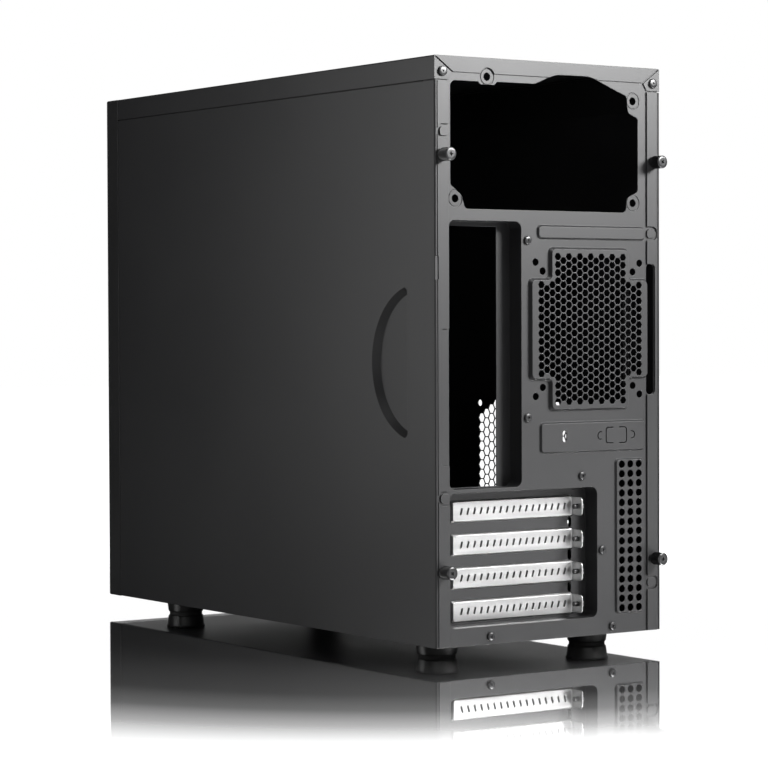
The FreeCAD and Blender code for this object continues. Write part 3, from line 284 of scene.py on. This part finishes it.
def looseObject(name, bm):
    mesh = bpy.data.meshes.new(name)
    bm.to_mesh(mesh)
    bm.free()
    obj = bpy.data.objects.new(name, mesh)
    scene.collection.objects.link(obj)
    return obj


def cutAway(bm, tool):
    # takes the tool's shape out of the solid
    solid, cutter = looseObject("solid", bm), looseObject("cutter", tool)
    boolean = solid.modifiers.new("cut", "BOOLEAN")
    boolean.operation = "DIFFERENCE"
    boolean.solver = "EXACT"
    boolean.object = cutter
    evaluated = solid.evaluated_get(bpy.context.evaluated_depsgraph_get())
    result = bmesh.new()
    result.from_mesh(evaluated.to_mesh())
    evaluated.to_mesh_clear()
    for obj in (solid, cutter):
        bpy.data.meshes.remove(obj.data)
    return result


def cutCross(bm, look, turn, height):
    # a driver's cross recess round the axis: two tapering wings, one after the other
    for quarter in (0, 90):
        about = Matrix.Rotation(math.radians(turn + quarter), 3, "Y")
        wing = bmesh.new()
        made = bmesh.ops.create_cube(wing, size=1.0)["verts"]
        bmesh.ops.scale(wing, verts=made, vec=(look["reach"] * 2, look["depth"] * 2, look["wing"]))
        bmesh.ops.scale(wing, verts=[v for v in made if v.co.y < 0], vec=(0.35, 1, 0.7))
        bmesh.ops.rotate(wing, verts=made, cent=(0, 0, 0), matrix=about)
        bmesh.ops.translate(wing, verts=made, vec=(0, height, 0))
        bm = cutAway(bm, wing)
    return bm


thumbscrewLook = {"collarRadius": 0.0032, "collar": 0.0010, "headLength": 0.0094, "chamfer": 0.00045,
                  "shankRadius": 0.0017, "shankChamfer": 0.0003, "shankTip": 0.0004, "faceRadius": 0.0024,
                  "knurlInset": 0.00032, "knurlEnd": 0.0012, "steps": 96,
                  "cross": {"reach": 0.0019, "depth": 0.0013, "wing": 0.00085}}


def thumbscrew(node, name, turn):
    look = thumbscrewLook
    low, high, middle = boxSpan(node)
    radius = (high.x - low.x) / 2
    length = high.y - low.y
    seat = length - look["headLength"]
    ring, shank, collar = look["chamfer"], look["shankRadius"], look["collarRadius"]
    base = seat + look["collar"]
    band = (base + look["knurlEnd"], length - look["knurlEnd"])
    head = spunSolid([(0, 0), (shank - look["shankChamfer"], 0), (shank, look["shankTip"]), (shank, seat),
                      (collar, seat), (collar, base), (radius - ring, base), (radius, base + ring),
                      (radius, band[0]), (radius, band[1]), (radius, length - ring), (radius - ring, length),
                      (look["faceRadius"], length), (0, length)], look["steps"])
    inset = 1 - look["knurlInset"] / radius
    for v in head.verts:
        around = math.degrees(math.atan2(v.co.z, v.co.x)) % 360
        inBand = band[0] - 0.0001 < v.co.y < band[1] + 0.0001
        if inBand and round(around / (360 / look["steps"])) % 2 == 0:
            v.co.x *= inset
            v.co.z *= inset
    head = cutCross(head, look["cross"], turn, length)
    bmesh.ops.translate(head, verts=head.verts, vec=(middle.x, low.y, middle.z))
    finishPiece(name, head, node)


for side, label, more in (("right", "Tray", 0), ("left", "Vent", 51)):
    for level, turn in (("upper", 4), ("lower", 38)):
        thumbscrew(f"thumbscrew_{side}_{level}", f"thumbscrew{label}{level.capitalize()}", turn + more)


panHeadLook = {"radius": 0.0027, "rise": 0.0015, "steps": 40, "shank": 0.00145, "shankLength": 0.004,
               "cross": {"reach": 0.00135, "depth": 0.0009, "wing": 0.0006}}


def panHead(look, turn):
    # seat at y = 0, head towards +Y
    rise, radius = look["rise"], look["radius"]
    tip, shank = -look["shankLength"], look["shank"]
    bm = spunSolid([(0, tip), (shank, tip), (shank, 0), (radius * 0.96, 0), (radius, 0.00012),
                    (radius, rise * 0.45), (radius * 0.93, rise * 0.8), (radius * 0.75, rise * 0.96),
                    (radius * 0.4, rise), (0, rise)], look["steps"])
    return cutCross(bm, look["cross"], turn, rise)


def islands(node):
    # low and high corners of the separate solids in one node
    bm = bmesh.new()
    bm.from_mesh(frame["nodes"][node].data)
    bmesh.ops.remove_doubles(bm, verts=bm.verts, dist=weld)
    left = set(bm.verts)
    found = []
    while left:
        group, queue = set(), [left.pop()]
        while queue:
            v = queue.pop()
            group.add(v)
            for e in v.link_edges:
                other = e.other_vert(v)
                if other in left:
                    left.discard(other)
                    queue.append(other)
        low = Vector([min(v.co[i] for v in group) for i in range(3)])
        high = Vector([max(v.co[i] for v in group) for i in range(3)])
        found.append((low, high))
    bm.free()
    return sorted(found, key=lambda span: (round(span[0].z, 4), round(span[0].x, 4)))


def screwSet(node, name, look, facing):
    joined = bmesh.new()
    for i, (low, high) in enumerate(islands(node)):
        one = panHead(look, 17 + 41 * i)
        middle = (low + high) / 2
        if facing == "rear":
            place = Matrix.Translation((middle.x, high.y - look["rise"], middle.z))
        elif facing == "front":
            place = Matrix.Translation((middle.x, low.y + look["rise"], middle.z))
            place = place @ Matrix.Rotation(math.pi, 4, "Z")
        else:
            place = Matrix.Translation((low.x + look["rise"], middle.y, middle.z))
            place = place @ Matrix.Rotation(math.pi / 2, 4, "Z")
        bmesh.ops.transform(one, matrix=place, verts=one.verts)
        mesh = bpy.data.meshes.new("one")
        one.to_mesh(mesh)
        one.free()
        joined.from_mesh(mesh)
        bpy.data.meshes.remove(mesh)
    finishPiece(name, joined, node)


screwSet("rear_screws", "rearSheetScrews", panHeadLook, "rear")
screwSet("cover_screws", "topCoverScrews", {**panHeadLook, "radius": 0.0031}, "rear")
screwSet("fan_screws", "fanScrews", panHeadLook, "front")
slotScrewLook = {**panHeadLook, "radius": 0.0028, "rise": 0.0018, "shank": 0.0015, "shankLength": 0.005}
screwSet("slot_screws", "slotCoverScrews", slotScrewLook, "left")
print("screws turned")


footShape = {"topRadius": 0.0136, "lowRadius": 0.0122, "lip": 0.0006, "padRadius": 0.0113,
             "padRecess": 0.002, "steps": 72}


def foot(node, name):
    look = footShape
    low, high, middle = boxSpan(node)
    tall = high.z - low.z
    wide, narrow, lip = look["topRadius"], look["lowRadius"], look["lip"]
    bm = spunSolid([(0, tall), (wide - lip, tall), (wide, tall - lip), (wide, tall * 0.80),
                    (wide - 0.0005, tall * 0.76), (narrow + 0.0002, 0.0014), (narrow - 0.0003, 0.0005),
                    (narrow - 0.0009, 0), (look["padRadius"], 0), (look["padRadius"], look["padRecess"]),
                    (0, look["padRecess"])], look["steps"])
    bmesh.ops.rotate(bm, verts=bm.verts, cent=(0, 0, 0), matrix=Matrix.Rotation(math.pi / 2, 3, "X"))
    bmesh.ops.translate(bm, verts=bm.verts, vec=(middle.x, middle.y, low.z))
    finishPiece(name, bm, node)


for end in ("rear", "front"):
    for side in ("right", "left"):
        foot(f"foot_{end}_{side}", f"foot{end.capitalize()}{side.capitalize()}")
print("feet moulded")


buttonLook = {"dish": 0.0005, "edge": 0.0007, "flangeAt": 0.0021, "flange": 0.0012, "flangeReach": 0.0016,
              "steps": 72}


def pressButton(node, name):
    low, high, middle = boxSpan(node)
    look = buttonLook
    wide = (high.x - low.x) / 2
    radius = wide - look["flangeReach"]
    length = high.y - low.y
    edge, start = look["edge"], look["flangeAt"]
    bm = spunSolid([(0, look["dish"]), (radius * 0.5, look["dish"] * 0.75), (radius - edge * 1.4, 0.00005),
                    (radius - edge, 0), (radius - edge * 0.3, edge * 0.3), (radius, edge), (radius, start),
                    (wide, start), (wide, start + look["flange"]), (radius, start + look["flange"]),
                    (radius, length), (0, length)], look["steps"])
    bmesh.ops.translate(bm, verts=bm.verts, vec=(middle.x, low.y, middle.z))
    finishPiece(name, bm, node)


pressButton("power_button", "powerButton")
pressButton("reset_button", "resetButton")


lensLook = {"dome": 0.0006, "steps": 32}
for node, name in (("power_led", "powerLamp"), ("drive_led", "driveLamp")):
    low, high, middle = boxSpan(node)
    radius = (high.x - low.x) / 2
    dome, length = lensLook["dome"], high.y - low.y
    bm = spunSolid([(0, 0), (radius * 0.5, dome * 0.2), (radius * 0.85, dome * 0.6), (radius, dome),
                    (radius, length), (0, length)], lensLook["steps"])
    bmesh.ops.translate(bm, verts=bm.verts, vec=(middle.x, low.y, middle.z))
    finishPiece(name, bm, node)
print("buttons and lamps made")


rotorLook = {"hubRadius": 0.020, "hubEdge": 0.002, "axleRadius": 0.0015, "axleLength": 0.0034,
             "tipGap": 0.0004, "blades": 7, "tilt": 38, "sweep": 14, "chord": 0.0245, "bow": 0.0016,
             "thickness": 0.0014, "rows": 10, "steps": 64}


def fanRotor():
    look = rotorLook
    low, high, middle = boxSpan("fan_rotor")
    reach = max(high.x - middle.x, high.z - middle.z) - look["tipGap"]
    hubHigh = high.y - look["axleLength"]
    wide, edge, axle = look["hubRadius"], look["hubEdge"], look["axleRadius"]
    hub = spunSolid([(0, low.y), (wide - edge, low.y), (wide - edge * 0.3, low.y + edge * 0.3),
                     (wide, low.y + edge), (wide, hubHigh), (axle, hubHigh), (axle, high.y), (0, high.y)],
                    look["steps"])
    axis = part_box("fan_frame")
    centre = (axis[0] + axis[1]) / 2
    level = (low.y + hubHigh) / 2
    for i in range(look["blades"]):
        made = bmesh.ops.create_grid(hub, x_segments=look["rows"], y_segments=6, size=0.5)["verts"]
        faces = list({f for v in made for f in v.link_faces})
        for v in made:
            out = v.co.x + 0.5
            across = v.co.y
            radius = (wide - 0.001) * (1 - out) + reach * out
            tilt = math.radians(look["tilt"] - 12 * out)
            chord = look["chord"] * (0.8 + 0.3 * out)
            swing = math.radians(look["sweep"]) * out ** 1.5 + across * chord * math.cos(tilt) / radius
            bow = look["bow"] * (1 - (2 * across) ** 2)
            rise = level + across * chord * math.sin(tilt) * 0.95 + bow
            rise = min(max(rise, low.y + 0.0006), hubHigh - 0.0016)
            v.co = Vector((radius * math.cos(swing), rise, radius * math.sin(swing)))
        solid = bmesh.ops.solidify(hub, geom=faces, thickness=look["thickness"])
        grown = {v for v in solid["geom"] if isinstance(v, bmesh.types.BMVert)}
        blade = list({v for f in faces for v in f.verts} | grown)
        turn = Matrix.Rotation(math.tau / look["blades"] * i, 3, "Y")
        bmesh.ops.rotate(hub, verts=blade, cent=(0, 0, 0), matrix=turn)
    bmesh.ops.recalc_face_normals(hub, faces=hub.faces)
    bmesh.ops.translate(hub, verts=hub.verts, vec=(centre.x, 0, centre.z))
    finishPiece("fanRotor", hub, "fan_rotor")


fanRotor()
print("fan rotor made")


# ---- stage, lights and camera

def greyRamp(ramp, stops):
    # stops: (position, grey level) pairs in rising order
    for i, (spot, level) in enumerate(stops):
        element = ramp.color_ramp.elements[i] if i < 2 else ramp.color_ramp.elements.new(spot)
        element.position = spot
        element.color = (level, level, level, 1)


stage = {"floorSize": 12.0, "fadeFrom": 0.20, "fadeTo": 0.70, "fadeCentre": (-0.03, 0.02, 0), "tone": 0.93,
         "fade": [(0.0, 0.0), (0.28, 0.015), (0.40, 0.055), (0.51, 0.20),
                  (0.66, 0.58), (0.80, 0.85), (0.90, 1.0)],
         "glow": 1.1, "glossRoughness": 0.025}
bm = bmesh.new()
bmesh.ops.create_grid(bm, x_segments=1, y_segments=1, size=stage["floorSize"] / 2)
floorMesh = bpy.data.meshes.new("floor")
bm.to_mesh(floorMesh)
bm.free()
floor = bpy.data.objects.new("floor", floorMesh)
scene.collection.objects.link(floor)

floorGloss = bpy.data.materials.new("floorGloss")
floorGloss.use_nodes = True
floorGloss.node_tree.nodes.clear()
out = addNode(floorGloss, "ShaderNodeOutputMaterial")
matt = addNode(floorGloss, "ShaderNodeBsdfDiffuse", Color=(stage["tone"], stage["tone"], stage["tone"], 1))
glow = addNode(floorGloss, "ShaderNodeEmission", Color=(1, 1, 1, 1))
pale = addNode(floorGloss, "ShaderNodeAddShader")
# the floor glows for the viewer and does not light the case
looking = addNode(floorGloss, "ShaderNodeLightPath")
shine = addNode(floorGloss, "ShaderNodeMath", operation="MULTIPLY")
shine.inputs[1].default_value = stage["glow"]
join(floorGloss, looking.outputs["Is Camera Ray"], shine.inputs[0])
join(floorGloss, shine.outputs[0], glow.inputs["Strength"])
join(floorGloss, matt.outputs[0], pale.inputs[0])
join(floorGloss, glow.outputs[0], pale.inputs[1])
gloss = addNode(floorGloss, "ShaderNodeBsdfGlossy", Color=(1, 1, 1, 1), Roughness=stage["glossRoughness"])
place = addNode(floorGloss, "ShaderNodeTexCoord")
distance = addNode(floorGloss, "ShaderNodeVectorMath", operation="LENGTH")
middle = addNode(floorGloss, "ShaderNodeVectorMath", operation="SUBTRACT")
middle.inputs[1].default_value = stage["fadeCentre"]
join(floorGloss, place.outputs["Object"], middle.inputs[0])
join(floorGloss, middle.outputs[0], distance.inputs[0])
near = addNode(floorGloss, "ShaderNodeMapRange")
near.inputs["From Min"].default_value = stage["fadeFrom"]
near.inputs["From Max"].default_value = stage["fadeTo"]
join(floorGloss, distance.outputs["Value"], near.inputs["Value"])
fade = addNode(floorGloss, "ShaderNodeValToRGB")
greyRamp(fade, stage["fade"])
join(floorGloss, near.outputs["Result"], fade.inputs["Fac"])
blendFloor = addNode(floorGloss, "ShaderNodeMixShader")
join(floorGloss, fade.outputs["Color"], blendFloor.inputs[0])
join(floorGloss, gloss.outputs[0], blendFloor.inputs[1])
join(floorGloss, pale.outputs[0], blendFloor.inputs[2])
join(floorGloss, blendFloor.outputs[0], out.inputs["Surface"])
floorMesh.materials.append(floorGloss)

backdrop = {"bands": [(0.0, 0.15), (0.44, 0.15), (0.46, 1.25), (0.60, 1.25), (0.66, 0.15), (1.0, 0.12)],
            "axis": (0.566, 0.824, 0), "sector": (0.88, 0.96), "drape": 0.06}
world = bpy.data.worlds.new("studio")
world.use_nodes = True
scene.world = world
world.node_tree.nodes.clear()
worldOut = addNode(world, "ShaderNodeOutputWorld")
seen = addNode(world, "ShaderNodeBackground", Color=(1, 1, 1, 1), Strength=1.0)
room = addNode(world, "ShaderNodeBackground")
direction = addNode(world, "ShaderNodeTexCoord")
height = addNode(world, "ShaderNodeSeparateXYZ")
join(world, direction.outputs["Generated"], height.inputs[0])
spread = addNode(world, "ShaderNodeMapRange")
spread.inputs["From Min"].default_value = -1.0
join(world, height.outputs["Z"], spread.inputs["Value"])
tone = addNode(world, "ShaderNodeValToRGB")
greyRamp(tone, backdrop["bands"])
join(world, spread.outputs["Result"], tone.inputs["Fac"])
# white drop ahead and behind, dark drapes to the two sides
sector = addNode(world, "ShaderNodeVectorMath", operation="DOT_PRODUCT")
sector.inputs[1].default_value = backdrop["axis"]
join(world, direction.outputs["Generated"], sector.inputs[0])
both = addNode(world, "ShaderNodeMath", operation="ABSOLUTE")
join(world, sector.outputs["Value"], both.inputs[0])
drapes = addNode(world, "ShaderNodeMapRange", interpolation_type="SMOOTHSTEP")
drapes.inputs["From Min"].default_value = backdrop["sector"][0]
drapes.inputs["From Max"].default_value = backdrop["sector"][1]
drapes.inputs["To Min"].default_value = backdrop["drape"]
join(world, both.outputs["Value"], drapes.inputs["Value"])
level = addNode(world, "ShaderNodeMath", operation="MULTIPLY")
join(world, tone.outputs["Color"], level.inputs[0])
join(world, drapes.outputs["Result"], level.inputs[1])
join(world, level.outputs["Value"], room.inputs["Strength"])
rays = addNode(world, "ShaderNodeLightPath")
pick = addNode(world, "ShaderNodeMixShader")
join(world, rays.outputs["Is Camera Ray"], pick.inputs[0])
join(world, room.outputs[0], pick.inputs[1])
join(world, seen.outputs[0], pick.inputs[2])
join(world, pick.outputs[0], worldOut.inputs["Surface"])


def softbox(name, place, target, size, power):
    light = bpy.data.lights.new(name, "AREA")
    light.shape = "RECTANGLE"
    light.size, light.size_y = size
    light.energy = power
    obj = bpy.data.objects.new(name, light)
    obj.location = place
    obj.rotation_euler = (Vector(target) - Vector(place)).to_track_quat("-Z", "Y").to_euler()
    obj.visible_camera = False
    scene.collection.objects.link(obj)


softbox("rearBox", (-0.50, 0.90, 0.62), (0, 0.2, 0.34), (0.4, 0.2), 21)
softbox("ridgeBox", (0.08, 0.40, 0.80), (0, 0.12, 0.36), (0.4, 0.2), 2)
softbox("sideBox", (0.45, -0.15, 0.30), (0.09, 0.12, 0.25), (0.2, 0.5), 0.85)
softbox("topBox", (0.0, 0.0, 1.6), (0, 0, 0.2), (1.2, 1.2), 0.8)

cameraLook = {"place": (1.021284, 1.508065, 0.207342), "turn": (88.63729, 0.2139, 145.54422), "lens": 126.0}
camera = bpy.data.cameras.new("camera")
camera.lens = cameraLook["lens"]
camera.sensor_width = 36.0
cameraObject = bpy.data.objects.new("camera", camera)
cameraObject.location = cameraLook["place"]
cameraObject.rotation_euler = [math.radians(a) for a in cameraLook["turn"]]
scene.collection.objects.link(cameraObject)
scene.camera = cameraObject
scene.view_settings.view_transform = "Standard"
print("stage set")
